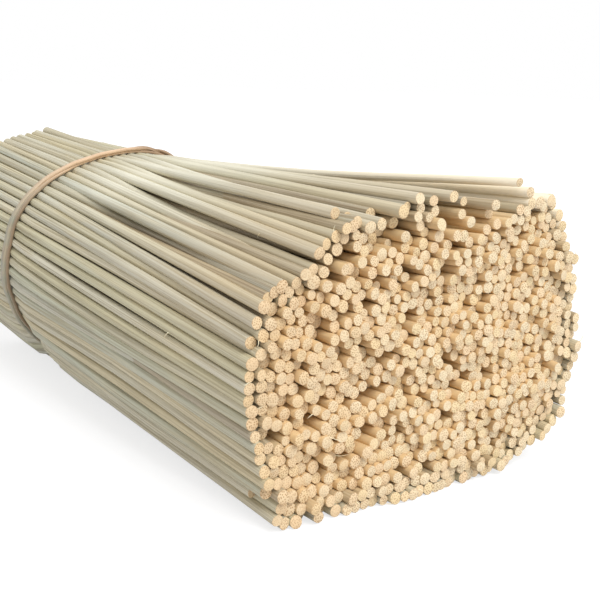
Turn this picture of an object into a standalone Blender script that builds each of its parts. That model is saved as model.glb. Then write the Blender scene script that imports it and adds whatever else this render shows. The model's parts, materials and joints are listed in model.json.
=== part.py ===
"""A bundle of rattan reeds lying on its side, held together by one rubber band.

The reeds run along X, with the fanned end at +X, and the bundle rests on Z = 0.
The outermost layer over the top and both sides is made reed by reed. The packed reeds
inside it and under it are one solid of stepped columns that reach the tips at both ends.
"""
import math
import random
from collections import namedtuple

import bmesh
import bpy
from mathutils import Vector
from mathutils.geometry import delaunay_2d_cdt

# Reeds, in metres
REED_DIAMETER = 0.0030
REED_LENGTH = 0.2000
REED_SIDES = 8
OUTER_REEDS = 58
OUTER_FIRST_ANGLE = math.radians(219)
OUTER_LAST_ANGLE = math.radians(-39)
TIP_FORWARD = 0.0030
PACKED_TIP_FORWARD = 0.0025
TIP_BACK = 0.0050
GAP = 0.0003
LAYER_ROOM = 0.0002
SLUMP = 0.12

# Packed reeds: columns in rings around the middle of the bundle
COLUMN_RINGS = 7
COLUMN_JITTER = 0.16
RELAX_ROUNDS = 3
RELAX_SHARE = 0.5
GROOVE_DEPTH = 0.0009
LAND_SHARE = 0.30
LAND_HEIGHT = 0.0013
STEP_ANGLE = math.radians(5)
CHANCE_SEED = 41

# Rubber band
BAND_WIDTH = 0.0044
BAND_THICKNESS = 0.0011
BAND_LIFT = 0.0003
BAND_SEGMENTS = 96

# Cross-sections of the bundle: four quarters of superellipses that share one middle
Section = namedtuple("Section", "x mid_y mid_z left right base top low_left low_right top_left top_right")

NEAR_X = 0.1011
BAND_X = NEAR_X - 0.1390
FAR_X = NEAR_X - REED_LENGTH
BAND_BASE = BAND_LIFT + BAND_THICKNESS + GAP

NEAR = Section(NEAR_X, 0.0030, 0.0340, 0.0590, 0.0525, 0.0, 0.0782, 3.6, 2.6, 1.95, 3.3)
TIED = Section(BAND_X, -0.0040, 0.0390, 0.0505, 0.0575, BAND_BASE, 0.0767, 2.5, 3.2, 2.3, 1.95)
FAR = Section(FAR_X, -0.0080, 0.0380, 0.0445, 0.0605, 0.0, 0.0798, 1.9, 3.4, 3.0, 2.1)

BEND_REACH = 0.022
NEAR_KNEE = 0.045
FAR_KNEE = 0.025

REED_COLOUR = (0.62, 0.52, 0.34, 1.0)
PACKED_COLOUR = (0.70, 0.56, 0.36, 1.0)
BAND_COLOUR = (0.55, 0.33, 0.18, 1.0)
REED_ROUGHNESS = 0.55
PACKED_ROUGHNESS = 0.65
BAND_ROUGHNESS = 0.50
REED_SMOOTH_ANGLE = math.radians(50)
PACKED_SMOOTH_ANGLE = math.radians(30)
BAND_SMOOTH_ANGLE = math.radians(40)

OUTLINE_STEPS = 720
SAME_PLACE = 1e-7
KEY_DIGITS = 7


def clear_objects():
    for item in list(bpy.data.objects):
        bpy.data.objects.remove(item, do_unlink=True)


def make_material(name, colour, roughness):
    material = bpy.data.materials.new(name)
    material.use_nodes = True
    shader = material.node_tree.nodes["Principled BSDF"]
    shader.inputs["Base Color"].default_value = colour
    shader.inputs["Roughness"].default_value = roughness
    shader.inputs["Metallic"].default_value = 0.0
    return material


def finish_object(name, bm, material, smooth_angle):
    """Turn a bmesh into one named object with its faces pointing out."""
    bmesh.ops.recalc_face_normals(bm, faces=bm.faces)
    mesh = bpy.data.meshes.new(name)
    bm.to_mesh(mesh)
    bm.free()
    mesh.materials.append(material)
    mesh.shade_smooth()
    mesh.set_sharp_from_angle(angle=smooth_angle)
    item = bpy.data.objects.new(name, mesh)
    bpy.context.scene.collection.objects.link(item)
    return item


def flare(distance, span):
    """Spread from the band: zero at the band, one at the end of the bundle, bent near the band."""
    bend = math.hypot(distance, BEND_REACH) - BEND_REACH
    return bend / (math.hypot(span, BEND_REACH) - BEND_REACH)


def section_at(x, base):
    """Cross-section between the band and an end, with its underside at the given height."""
    end = NEAR if x > BAND_X else FAR
    share = flare(abs(x - BAND_X), abs(end.x - BAND_X))
    mixed = [a + (b - a) * share for a, b in zip(TIED, end)]
    return Section(*mixed)._replace(x=x, base=base)


def bundle_stations():
    """Cross-sections through which every reed runs, from the near end to the far end."""
    near_knee = section_at(BAND_X + NEAR_KNEE, 0.0)
    far_knee = section_at(BAND_X - FAR_KNEE, 0.0)
    return [NEAR, near_knee, TIED, far_knee, FAR]


def reach(section, angle, inset):
    """Distance from the section's middle to its outline in one direction."""
    across = math.cos(angle)
    upward = math.sin(angle)
    width = (section.left if across < 0 else section.right) - inset
    if upward < 0:
        height = section.mid_z - section.base - inset
        power = section.low_left if across < 0 else section.low_right
    else:
        height = section.top - section.mid_z - inset
        power = section.top_left if across < 0 else section.top_right
    total = abs(across / width) ** power + abs(upward / height) ** power
    return total ** (-1.0 / power)


def place(section, angle, radius):
    """Point of a section at an angle and a distance from its middle."""
    y = section.mid_y + radius * math.cos(angle)
    z = section.mid_z + radius * math.sin(angle)
    return Vector((section.x, y, z))


def extend(start, end, x):
    """Point at x on the straight line through two points, also beyond them."""
    return start + (end - start) * ((x - start.x) / (end.x - start.x))


def along(points, x):
    """Point at x on a line through the stations, which run from high x to low x."""
    last = len(points) - 2
    leg = next((i for i in range(last) if x >= points[i + 1].x), last)
    point = extend(points[leg], points[leg + 1], x)
    point.z = max(point.z, 0.0)
    return point


def layer_points(section, count, inset, slump):
    """Points on the inset outline, over the top from side to side; slump moves them down both flanks."""
    turn = (OUTER_LAST_ANGLE - OUTER_FIRST_ANGLE) / OUTLINE_STEPS
    angles = [OUTER_FIRST_ANGLE + turn * i for i in range(OUTLINE_STEPS + 1)]
    line = [place(section, angle, reach(section, angle, inset)) for angle in angles]
    lengths = [0.0]
    for before, after in zip(line, line[1:]):
        lengths.append(lengths[-1] + (after - before).length)
    points = []
    mark = 0
    for i in range(count):
        share = i / (count - 1)
        share -= slump * math.sin(2 * math.pi * share) / (2 * math.pi)
        target = lengths[-1] * share
        while mark < OUTLINE_STEPS - 1 and lengths[mark + 1] < target:
            mark += 1
        between = (target - lengths[mark]) / (lengths[mark + 1] - lengths[mark])
        points.append(line[mark].lerp(line[mark + 1], between))
    return points


def build_outer_reed(name, path, material):
    """One reed: a rod through the points of its path, cut square at both ends."""
    bm = bmesh.new()
    rings = []
    for point in path:
        ring = []
        for i in range(REED_SIDES):
            angle = 2 * math.pi * (i + 0.5) / REED_SIDES
            side = Vector((0, math.cos(angle), math.sin(angle))) * (REED_DIAMETER / 2)
            ring.append(bm.verts.new(point + side))
        rings.append(ring)
    for ring, following in zip(rings, rings[1:]):
        for i in range(REED_SIDES):
            j = (i + 1) % REED_SIDES
            bm.faces.new((ring[i], ring[j], following[j], following[i]))
    bm.faces.new(rings[0])
    bm.faces.new(rings[-1])
    return finish_object(name, bm, material, REED_SMOOTH_ANGLE)


def build_outer_layer(stations, material, rng):
    """The outermost reeds; those of the top part and those of the flanks sink towards the near end."""
    rows = []
    for station in stations:
        slump = SLUMP * flare(station.x - BAND_X, NEAR_X - BAND_X) if station.x > BAND_X else 0.0
        rows.append(layer_points(station, OUTER_REEDS, REED_DIAMETER / 2, slump))
    for i in range(OUTER_REEDS):
        line = [row[i] for row in rows]
        tip = rng.uniform(-TIP_BACK, TIP_FORWARD)
        near_tip = extend(line[1], line[0], NEAR_X + tip)
        far_tip = extend(line[-2], line[-1], FAR_X + tip)
        path = [near_tip] + line[1:-1] + [far_tip]
        build_outer_reed(f"outer_reed_{i + 1:02d}", path, material)


def column_centres(rng):
    """Middles of the packed columns, in rings of a unit disc, with a ring of guards outside."""
    centres = []
    spacing = 1.0 / COLUMN_RINGS
    outer_angles = []
    for ring in range(COLUMN_RINGS):
        radius = (ring + 0.5) * spacing
        count = round(2 * math.pi * (ring + 0.5))
        phase = rng.uniform(0, 2 * math.pi)
        outermost = ring == COLUMN_RINGS - 1
        shake = 0.0 if outermost else COLUMN_JITTER * spacing
        for i in range(count):
            angle = phase + 2 * math.pi * i / count
            x = radius * math.cos(angle) + rng.uniform(-shake, shake)
            y = radius * math.sin(angle) + rng.uniform(-shake, shake)
            centres.append(Vector((x, y)))
            if outermost:
                outer_angles.append(angle + math.pi / count)
    guard_radius = 1.0 + 0.5 * spacing
    guards = [Vector((math.cos(a), math.sin(a))) * guard_radius for a in outer_angles]
    return centres, guards


def circle_centre(a, b, c):
    """Middle of the circle through three points."""
    ab, ac = b - a, c - a
    cross = 2 * (ab.x * ac.y - ab.y * ac.x)
    x = (ac.y * ab.length_squared - ab.y * ac.length_squared) / cross
    y = (ab.x * ac.length_squared - ac.x * ab.length_squared) / cross
    return a + Vector((x, y))


def column_cells(rng):
    """Cells around the column centres: corners, and each cell's corner numbers in order."""
    centres, guards = column_centres(rng)
    points = centres + guards
    triangles = delaunay_2d_cdt(points, [], [], 0, SAME_PLACE)[2]
    corners, outward, around = [], [], {i: [] for i in range(len(centres))}
    for triangle in triangles:
        real = [i for i in triangle if i < len(centres)]
        if not real:
            continue
        corners.append(circle_centre(*[points[i] for i in triangle]))
        outward.append(3 - len(real))
        for i in real:
            around[i].append(len(corners) - 1)
    cells = []
    for i, ring in around.items():
        ring.sort(key=lambda c: math.atan2(corners[c].y - centres[i].y, corners[c].x - centres[i].x))
        cells.append(ring)
    relax_corners(corners, outward, cells)
    return corners, outward, cells


def relax_corners(corners, outward, cells):
    """Even out the short sides inside the disc."""
    neighbours = {i: set() for i in range(len(corners))}
    for ring in cells:
        for a, b in zip(ring, ring[1:] + ring[:1]):
            neighbours[a].add(b)
            neighbours[b].add(a)
    for _ in range(RELAX_ROUNDS):
        moved = {}
        for i, around in neighbours.items():
            if not outward[i]:
                middle = sum((corners[n] for n in around), Vector((0, 0))) / len(around)
                moved[i] = corners[i].lerp(middle, RELAX_SHARE)
        for i, point in moved.items():
            corners[i] = point


def packed_inset(angle):
    """How far the packed reeds stay inside the outline: a reed's width under the outer layer."""
    turned = (angle - math.pi / 2 + math.pi) % (2 * math.pi) - math.pi
    layer_half = (OUTER_FIRST_ANGLE - OUTER_LAST_ANGLE) / 2
    beyond = abs(turned) - layer_half - STEP_ANGLE
    share = min(max(1.0 - beyond / STEP_ANGLE, 0.0), 1.0)
    return (REED_DIAMETER + GAP + LAYER_ROOM) * share


def corner_line(stations, angle, share, depth):
    """A column corner at every station: share of the way out, less a groove's depth."""
    line = []
    for station in stations:
        radius = reach(station, angle, packed_inset(angle)) * share - depth
        point = place(station, angle, radius)
        resting = station.base == 0 and depth == 0 and share == 1
        if resting and point.z < LAND_HEIGHT:
            point.z = 0.0
        line.append(point)
    return line


def column_lines(stations, rng):
    """Lines along which the columns' corners run, and each column's lines in order."""
    corners, outward, cells = column_cells(rng)
    lines = []
    for corner, side in zip(corners, outward):
        angle = math.atan2(corner.y, corner.x)
        if side == 0:
            lines.append(corner_line(stations, angle, corner.length, 0.0))
        else:
            lines.append(corner_line(stations, angle, 1.0, GROOVE_DEPTH))
    width = 1 / (COLUMN_RINGS - 0.5)
    columns = []
    for ring in cells:
        column = []
        for corner in ring:
            if outward[corner] != 2:
                column.append(corner)
                continue
            angle = math.atan2(corners[corner].y, corners[corner].x)
            for turn in (-LAND_SHARE * width, LAND_SHARE * width):
                lines.append(corner_line(stations, angle + turn, 1.0, 0.0))
                column.append(len(lines) - 1)
        columns.append(column)
    return lines, columns


def build_packed_reeds(stations, material, rng):
    """Columns side by side in one solid, each with its own tip at both ends."""
    lines, columns = column_lines(stations, rng)
    tips = [rng.uniform(-TIP_BACK, PACKED_TIP_FORWARD) for _ in columns]
    near = [NEAR_X + tip for tip in tips]
    far = [FAR_X + tip for tip in tips]
    touching = {}
    for number, column in enumerate(columns):
        for line in column:
            touching.setdefault(line, []).append(number)

    bm = bmesh.new()
    made = {}

    def vertex(line, x):
        key = (line, round(x, KEY_DIGITS))
        if key not in made:
            made[key] = bm.verts.new(along(lines[line], x))
        return made[key]

    def levels(line, low, high, tip_sets):
        marks = {low, high}
        for tip_set in tip_sets:
            marks.update(tip_set[n] for n in touching[line])
        return sorted(x for x in marks if low <= x <= high)

    def wall(line_a, line_b, marks_a, marks_b):
        a, b = 0, 0
        while a < len(marks_a) - 1 or b < len(marks_b) - 1:
            step_a = b == len(marks_b) - 1
            if a < len(marks_a) - 1 and not step_a:
                step_a = marks_a[a + 1] <= marks_b[b + 1]
            if step_a:
                third = vertex(line_a, marks_a[a + 1])
            else:
                third = vertex(line_b, marks_b[b + 1])
            bm.faces.new((vertex(line_a, marks_a[a]), vertex(line_b, marks_b[b]), third))
            a += step_a
            b += not step_a

    sides = {}
    for number, column in enumerate(columns):
        bm.faces.new([vertex(line, near[number]) for line in column])
        bm.faces.new([vertex(line, far[number]) for line in reversed(column)])
        for a, b in zip(column, column[1:] + column[:1]):
            sides.setdefault(frozenset((a, b)), []).append((number, a, b))
    stops = [station.x for station in stations[1:-1]]
    for shared in sides.values():
        number, a, b = shared[0]
        if len(shared) == 1:
            low, high = far[number], near[number]
            marks_a = sorted(levels(a, low, high, (near, far)) + stops)
            marks_b = sorted(levels(b, low, high, (near, far)) + stops)
            wall(a, b, marks_a, marks_b)
            continue
        other = shared[1][0]
        for tip_set in (near, far):
            low, high = sorted((tip_set[number], tip_set[other]))
            if high - low > SAME_PLACE:
                wall(a, b, levels(a, low, high, (tip_set,)), levels(b, low, high, (tip_set,)))
    return finish_object("packed_reeds", bm, material, PACKED_SMOOTH_ANGLE)


def build_rubber_band(material):
    """A flat loop around the reeds at their narrowest place."""
    half = BAND_WIDTH / 2
    inner, outer = GAP, GAP + BAND_THICKNESS
    profile = [(-half, inner), (half, inner), (half, outer), (-half, outer)]
    bm = bmesh.new()
    rings = []
    for i in range(BAND_SEGMENTS):
        angle = 2 * math.pi * i / BAND_SEGMENTS
        ring = []
        for along_x, out in profile:
            point = place(TIED, angle, reach(TIED, angle, -out))
            point.x += along_x
            ring.append(bm.verts.new(point))
        rings.append(ring)
    for i in range(BAND_SEGMENTS):
        ring, following = rings[i], rings[(i + 1) % BAND_SEGMENTS]
        for j in range(len(profile)):
            k = (j + 1) % len(profile)
            bm.faces.new((ring[j], ring[k], following[k], following[j]))
    return finish_object("rubber_band", bm, material, BAND_SMOOTH_ANGLE)


def main():
    clear_objects()
    rng = random.Random(CHANCE_SEED)
    reed = make_material("rattan_reed", REED_COLOUR, REED_ROUGHNESS)
    packed = make_material("rattan_packed", PACKED_COLOUR, PACKED_ROUGHNESS)
    rubber = make_material("tan_rubber", BAND_COLOUR, BAND_ROUGHNESS)
    stations = bundle_stations()
    build_outer_layer(stations, reed, rng)
    build_packed_reeds(stations, packed, rng)
    build_rubber_band(rubber)


main()
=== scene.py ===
import json
import math

import bmesh
import bpy
import numpy as np
from mathutils import Matrix, Vector

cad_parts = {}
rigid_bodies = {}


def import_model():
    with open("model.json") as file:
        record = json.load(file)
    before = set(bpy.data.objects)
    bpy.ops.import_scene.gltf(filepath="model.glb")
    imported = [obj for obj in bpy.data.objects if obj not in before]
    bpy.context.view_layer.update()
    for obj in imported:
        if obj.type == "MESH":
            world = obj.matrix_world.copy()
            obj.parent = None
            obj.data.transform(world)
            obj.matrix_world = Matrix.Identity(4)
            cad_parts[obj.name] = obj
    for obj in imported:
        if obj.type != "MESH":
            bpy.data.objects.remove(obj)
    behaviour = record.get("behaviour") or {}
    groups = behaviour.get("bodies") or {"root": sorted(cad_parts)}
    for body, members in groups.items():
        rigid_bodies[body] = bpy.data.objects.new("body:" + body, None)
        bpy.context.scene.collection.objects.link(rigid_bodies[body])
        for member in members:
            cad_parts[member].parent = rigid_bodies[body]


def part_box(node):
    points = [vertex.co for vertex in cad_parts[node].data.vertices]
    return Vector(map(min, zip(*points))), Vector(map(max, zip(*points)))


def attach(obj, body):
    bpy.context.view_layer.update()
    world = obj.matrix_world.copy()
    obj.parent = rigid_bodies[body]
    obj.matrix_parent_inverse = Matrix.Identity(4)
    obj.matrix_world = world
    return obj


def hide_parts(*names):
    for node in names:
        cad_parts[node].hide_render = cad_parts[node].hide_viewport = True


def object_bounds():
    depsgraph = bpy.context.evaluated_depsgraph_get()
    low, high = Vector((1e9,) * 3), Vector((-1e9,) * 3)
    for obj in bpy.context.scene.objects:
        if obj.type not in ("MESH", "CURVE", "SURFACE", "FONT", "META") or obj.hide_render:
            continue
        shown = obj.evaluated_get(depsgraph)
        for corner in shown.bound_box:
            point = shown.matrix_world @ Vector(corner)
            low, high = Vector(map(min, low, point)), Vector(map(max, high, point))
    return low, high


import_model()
startLow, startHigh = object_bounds()
bandLow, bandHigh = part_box("rubber_band")
chance = np.random.default_rng(24)
print("frame loaded")

# what the whole bundle is like, in metres
bundle = {
    "nearX": startHigh.x - 0.0028,  # plane of the even, fanned end
    "bandX": (bandLow.x + bandHigh.x) / 2,
    "reedLength": 0.2000,
    "reedRadius": 0.00146,
    "radiusSpread": 0.070,  # share of the radius
    "nearThicker": 1.045,  # reeds widen a little towards the fanned end
    "bendReach": 0.022,  # how softly the reeds bend at the band
    "packedShare": 0.868,  # share of the tied section that is reed
}
bundle["farX"] = bundle["nearX"] - bundle["reedLength"]

# the three cross-sections: corners as (y, z), going round, in millimetres for a bundle of the drawn size.
# They are scaled to the frame's box; the middles and bases are in metres
drawn = {"width": 111.25, "height": 79.9}
sections = {
    "near": {
        "middle": (0.0046, 0.0390),
        "base": 0.0,
        "corners": [(-46.5, 0), (-50, 9), (-56, 34), (-55.3, 42), (-53.8, 52), (-51, 56.4), (-46, 59.6),
                    (-40.2, 61), (-37.8, 65), (-32.6, 69.6), (-29.5, 72), (-26.8, 73.2), (-22, 71.6),
                    (-17.5, 72.2), (-10, 75.5), (3, 77.8), (15.5, 78.4), (22, 78), (29, 75.6), (37, 74.9),
                    (46.5, 75.6), (51, 61), (55.5, 37), (55.5, 20), (52.5, 12), (41, 4.5), (30, 1), (16, 0)],
    },
    "band": {
        "middle": (0.0001, 0.0394),
        "base": bandLow.z + 0.0014,
        "corners": [(-27, 1.7), (-40, 7), (-46.5, 15), (-51.7, 24), (-55, 35), (-54.9, 44), (-52.3, 55),
                    (-48, 61.8), (-40.5, 67.6), (-30.5, 72.5), (-21.5, 75.4), (-12, 76.7), (-2, 76.4),
                    (4, 75), (9, 73.4), (20, 70), (39, 64), (51, 51), (54, 34), (49, 15), (39, 4),
                    (27, 1.7)],
    },
    "far": {
        "middle": (-0.0009, 0.0404),
        "base": 0.0,
        "corners": [(-16, 0), (-31, 6), (-44, 18), (-52, 36), (-51, 57), (-38, 75), (-18, 79.8), (0, 77.4),
                    (20, 73.2), (38, 66), (50, 53), (53, 32), (48, 12), (34, 0)],
    },
}
softening = {"stepsPerSide": 80, "directions": 720, "spread": 6}  # spread is in directions to each side


def lengthOf(points):
    return np.hypot(points[:, 0], points[:, 1])


def angleOf(points):
    return np.arctan2(points[:, 1], points[:, 0])


def towards(angles):
    return np.stack([np.cos(angles), np.sin(angles)], axis=1)


def nearestTo(angles, degrees):
    return int(np.argmin(np.abs((angles - degrees + 180) % 360 - 180)))


def centresAt(outline, angle):
    # how far from the middle a reed's centre may lie in each direction
    return np.interp(angle, outline["angles"], outline["centres"], period=2 * np.pi)


def makeOutline(corners, middle, base):
    # walks round the corners, softens them and keeps the distance from the middle in each direction
    across = (startHigh.y - startLow.y) / drawn["width"]
    upward = (startHigh.z - startLow.z) / drawn["height"]
    corners = np.array(corners) * (across, upward)
    middle = np.array(middle)
    share = np.linspace(0, 1, softening["stepsPerSide"], endpoint=False)[:, None, None]
    walk = (corners + (np.roll(corners, -1, axis=0) - corners) * share).reshape(-1, 2) - middle
    angles = np.linspace(-np.pi, np.pi, softening["directions"], endpoint=False)
    outline = {"middle": middle, "base": base, "angles": angles}
    reach = reachTable(walk, angles)
    shifts = range(-softening["spread"], softening["spread"] + 1)
    reach = np.mean([np.roll(reach, shift) for shift in shifts], axis=0)
    edge = towards(angles) * reach[:, None]
    along = np.roll(edge, -1, axis=0) - np.roll(edge, 1, axis=0)
    inward = np.stack([-along[:, 1], along[:, 0]], axis=1) / lengthOf(along)[:, None]
    outline["reach"] = reach
    outline["centres"] = reachTable(edge + inward * bundle["reedRadius"], angles)
    return outline


def reachTable(points, angles):
    order = np.argsort(angleOf(points))
    points = points[order]
    return np.interp(angles, angleOf(points), lengthOf(points), period=2 * np.pi)


def holdInside(points, radii, outline, ring=0):
    # a reed that sticks out of the section comes back until it touches the outline; the ring stays on it
    offset = points - outline["middle"]
    distance = lengthOf(offset)
    limit = centresAt(outline, angleOf(offset)) - (radii - bundle["reedRadius"])
    scale = np.minimum(1, limit / np.maximum(distance, 1e-6))
    scale[:ring] = limit[:ring] / distance[:ring]
    held = outline["middle"] + offset * scale[:, None]
    held[:, 1] = np.maximum(held[:, 1], outline["base"] + radii)
    return held


settling = {
    "push": 0.42,  # share of an overlap that one round clears
    "spare": 0.00002,  # gap left between reeds
    "clingsWithin": 0.0005,
    "lookWithin": 0.0010,
    "lookEvery": 8,  # rounds
    "grown": 0.6,  # share of the rounds after which reeds have their full size
}


def settle(points, radii, outline, rounds, startSize=1.0, still=(), cling=0.0, ring=0):
    # pushes reeds apart where they overlap, and lets near ones cling together
    start = points
    points = points.copy()
    still = np.array(still, dtype=int)
    count = len(points)
    for turn in range(rounds):
        size = radii * min(1.0, startSize + (1 - startSize) * turn / (rounds * settling["grown"]))
        if turn % settling["lookEvery"] == 0:
            away = points[:, None] - points[None]
            gaps = np.hypot(away[..., 0], away[..., 1]) - size[:, None] - size[None]
            one, other = np.nonzero(np.triu(gaps < settling["lookWithin"], 1))
        away = points[one] - points[other]
        distance = np.maximum(lengthOf(away), 1e-7)
        gap = distance - size[one] - size[other] - settling["spare"]
        clinging = -cling * np.where(gap < settling["clingsWithin"], gap, 0)
        step = away / distance[:, None] * np.where(gap < 0, -settling["push"] * gap, clinging)[:, None]
        for axis in (0, 1):
            forward = np.bincount(one, step[:, axis], count)
            points[:, axis] += forward - np.bincount(other, step[:, axis], count)
        points = holdInside(points, radii, outline, ring)
        points[still] = start[still]
    return points


def travelledAlong(line):
    return np.concatenate([[0], np.cumsum(lengthOf(np.roll(line, -1, axis=0) - line))])


def placedAlong(line, travelled, places):
    closed = np.concatenate([line, line[:1]])
    return np.stack([np.interp(places, travelled, closed[:, axis]) for axis in (0, 1)], axis=1)


def ringOfReeds(outline, radii):
    # reeds side by side all round the section, each touching the next
    line = outline["middle"] + towards(outline["angles"]) * outline["centres"][:, None]
    line[:, 1] = np.maximum(line[:, 1], outline["base"] + bundle["reedRadius"])
    travelled = travelledAlong(line)
    places = np.cumsum(radii + np.roll(radii, 1)) - radii[0] - radii[-1]
    count = int(np.searchsorted(places + 2 * radii, travelled[-1]))
    places = places[:count] * travelled[-1] / (places[count - 1] + radii[count - 1] + radii[0])
    return placedAlong(line, travelled, places)


# the loose end slumps: reeds of the top part to both sides and the flanks sink, in degrees round the middle
slump = {
    "tied": (-90, -60, -27, 0, 20, 40, 60, 83, 92, 97, 102,
             106, 115, 122, 130, 145, 160, 180, 207, 240, 270),
    "fanned": (-90, -63, -38, -14, 3, 20, 36, 55, 82, 105, 113,
               125, 134, 145, 153, 163, 178, 194, 218, 243, 270),
    "farShare": -0.28,  # the far end turns the other way, by this share
}


def moved(points, source, target, turnShare):
    # the same places in another section: same share of the reach, turned by the slump
    offset = points - source["middle"]
    angle = angleOf(offset)
    share = lengthOf(offset) / centresAt(source, angle)
    degrees = (np.degrees(angle) + 90) % 360 - 90
    turned = np.interp(degrees, slump["tied"], slump["fanned"]) - degrees
    angle = angle + np.radians(turned) * turnShare * share
    distance = share * centresAt(target, angle)
    return target["middle"] + towards(angle) * distance[:, None]


def drift(points, waves, longest, shortest):
    # smooth wandering over the section, about one unit strong
    total = np.zeros_like(points)
    for _ in range(waves):
        stretch = 2 * np.pi / chance.uniform(shortest, longest)
        heading = chance.uniform(0, 2 * np.pi)
        phase = chance.uniform(0, 2 * np.pi, 2)
        wave = stretch * (points[:, 0] * np.cos(heading) + points[:, 1] * np.sin(heading))
        total += np.sin(wave[:, None] + phase) / math.sqrt(waves / 2)
    return total


nearOutline = makeOutline(**sections["near"])
bandOutline = makeOutline(**sections["band"])
farOutline = makeOutline(**sections["far"])

# the tied section first: a ring of touching reeds, then the inside filled with growing ones
filling = {
    "ringReeds": 140,  # more than the ring has room for
    "ringSize": 1.03,  # sizes are shares of the reed's radius
    "ringLimits": (0.86, 1.16),
    "innerSize": 0.91,
    "lowerLeftThicker": 0.14,
    "innerLimits": (0.80, 1.2),
    "from": (-0.056, 0.0),
    "to": (0.056, 0.08),
    "fromEdge": 0.0026,
    "apart": 0.0017,
    "startSize": 0.62,
    "rounds": 700,
}
spreadOfSizes = bundle["radiusSpread"]
ringSizes = chance.normal(filling["ringSize"], spreadOfSizes, filling["ringReeds"])
ringRadii = bundle["reedRadius"] * np.clip(ringSizes, *filling["ringLimits"])
tied = ringOfReeds(bandOutline, ringRadii)
outerCount = len(tied)
ringRadii = ringRadii[:outerCount]
tiedArea = np.mean(bandOutline["reach"] ** 2) * np.pi
room = tiedArea * bundle["packedShare"] - np.sum(np.pi * ringRadii ** 2)
inner = []
innerRadii = []
while room > 0:
    place = chance.uniform(filling["from"], filling["to"])
    offset = place - bandOutline["middle"]
    limit = centresAt(bandOutline, np.arctan2(offset[1], offset[0]))
    if np.hypot(*offset) > limit - filling["fromEdge"]:
        continue
    if inner and np.min(lengthOf(np.array(inner) - place)) < filling["apart"]:
        continue
    # 0 at the upper right, up to 1.2 at the lower left
    lowerLeft = np.clip(0.25 - place[0] / 0.10 + (0.030 - place[1]) / 0.06, 0, 1.2)
    innerSize = chance.normal(filling["innerSize"] + filling["lowerLeftThicker"] * lowerLeft, spreadOfSizes)
    radius = bundle["reedRadius"] * np.clip(innerSize, *filling["innerLimits"])
    inner.append(place)
    innerRadii.append(radius)
    room -= np.pi * radius ** 2
tied = np.concatenate([tied, np.array(inner)])
radii = np.concatenate([ringRadii, innerRadii])
tied = settle(tied, radii, bandOutline, filling["rounds"], filling["startSize"], still=range(outerCount))
print("reeds packed at the band:", len(tied))

# then the two loose ends: the reeds keep their neighbours, but drift, cling together and leave gaps;
# some of the outer ones sink between the others, most of all at the upper left of the fanned end
looseness = {
    "near": {"outline": nearOutline, "turn": 1.0, "thicker": bundle["nearThicker"],
             "swelling": (1.25, 1.12, 1.04), "drift": 0.00030, "jitter": 0.00022, "cling": 0.05,
             "rounds": 200, "sunk": 0.12, "fanned": True},
    "far": {"outline": farOutline, "turn": slump["farShare"], "thicker": 1.0,
            "swelling": (1.08, 1.04), "drift": 0.00050, "jitter": 0.00025, "cling": 0.12,
            "rounds": 160, "sunk": 0.10, "fanned": False},
}
loosening = {"ringRounds": 150, "swellRounds": 120, "waves": 16, "longest": 0.026, "shortest": 0.009}
roomiest = {"at": (-0.034, 0.056), "size": 0.033, "most": 1.7, "limits": (0.15, 1.3)}
sunk = {
    "fan": (98, 166),  # degrees round the tied section; there only the slipped ones sink
    "shallowest": 0.0016,
    "deepest": 0.0032,
}
# dark partings between the outer reeds. Degrees round the tied section: opening, how hollow it is beneath
partings = {130: (0.0014, 0.0022), 144.5: (0.0008, 0.0035), 149.5: (0.0012, 0.0015), 162: (0.0008, 0.0015),
            118.5: (0.0006, 0.0015)}
partingReach = {"sideways": 0.008, "beneath": 0.004, "hollowSideways": 0.0040, "hollowBeneath": 0.012,
                "ringDepth": 0.001}

# at the upper left the reeds fan out one by one; some slip in under their neighbours and two stand proud.
# Degrees round the tied section: how far in at the fanned end, how far in midway, tip back, in millimetres
fan = {"from": 94, "to": 156, "tipBack": 0.0003}
slipped = {154: (2, 0, 0), 144.5: (6.5, 3.6, 0), 137: (1.5, 1.2, 0), 133.5: (3.5, 0, 0), 130: (1, 3, 0),
           118.5: (0.5, 2.4, 0), 115: (-1.8, 0, 5), 110.5: (1.5, 1.8, 0), 106: (0.5, 1.5, 0),
           97: (-1.2, 0, 0)}


def ringDegrees():
    return np.degrees(angleOf(tied[:outerCount] - bandOutline["middle"])) % 360


fanReeds = np.nonzero((ringDegrees() > fan["from"]) & (ringDegrees() < fan["to"]))[0]
slippedReeds = [nearestTo(ringDegrees(), degrees) for degrees in slipped]
slippedBy = np.array(list(slipped.values())) / 1000


def sinkSome(ring, loose):
    # which outer reeds sink, never two side by side, and where they come to lie
    degrees = ringDegrees()
    sinks = chance.random(outerCount) < loose["sunk"]
    sinks[1:] &= ~sinks[:-1]
    sinks &= (degrees < sunk["fan"][0]) | (degrees > sunk["fan"][1])
    depth = np.where(sinks, chance.uniform(sunk["shallowest"], sunk["deepest"], outerCount), 0)
    inward = loose["outline"]["middle"] - ring
    inward /= lengthOf(inward)[:, None]
    return ring + inward * depth[:, None]


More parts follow.
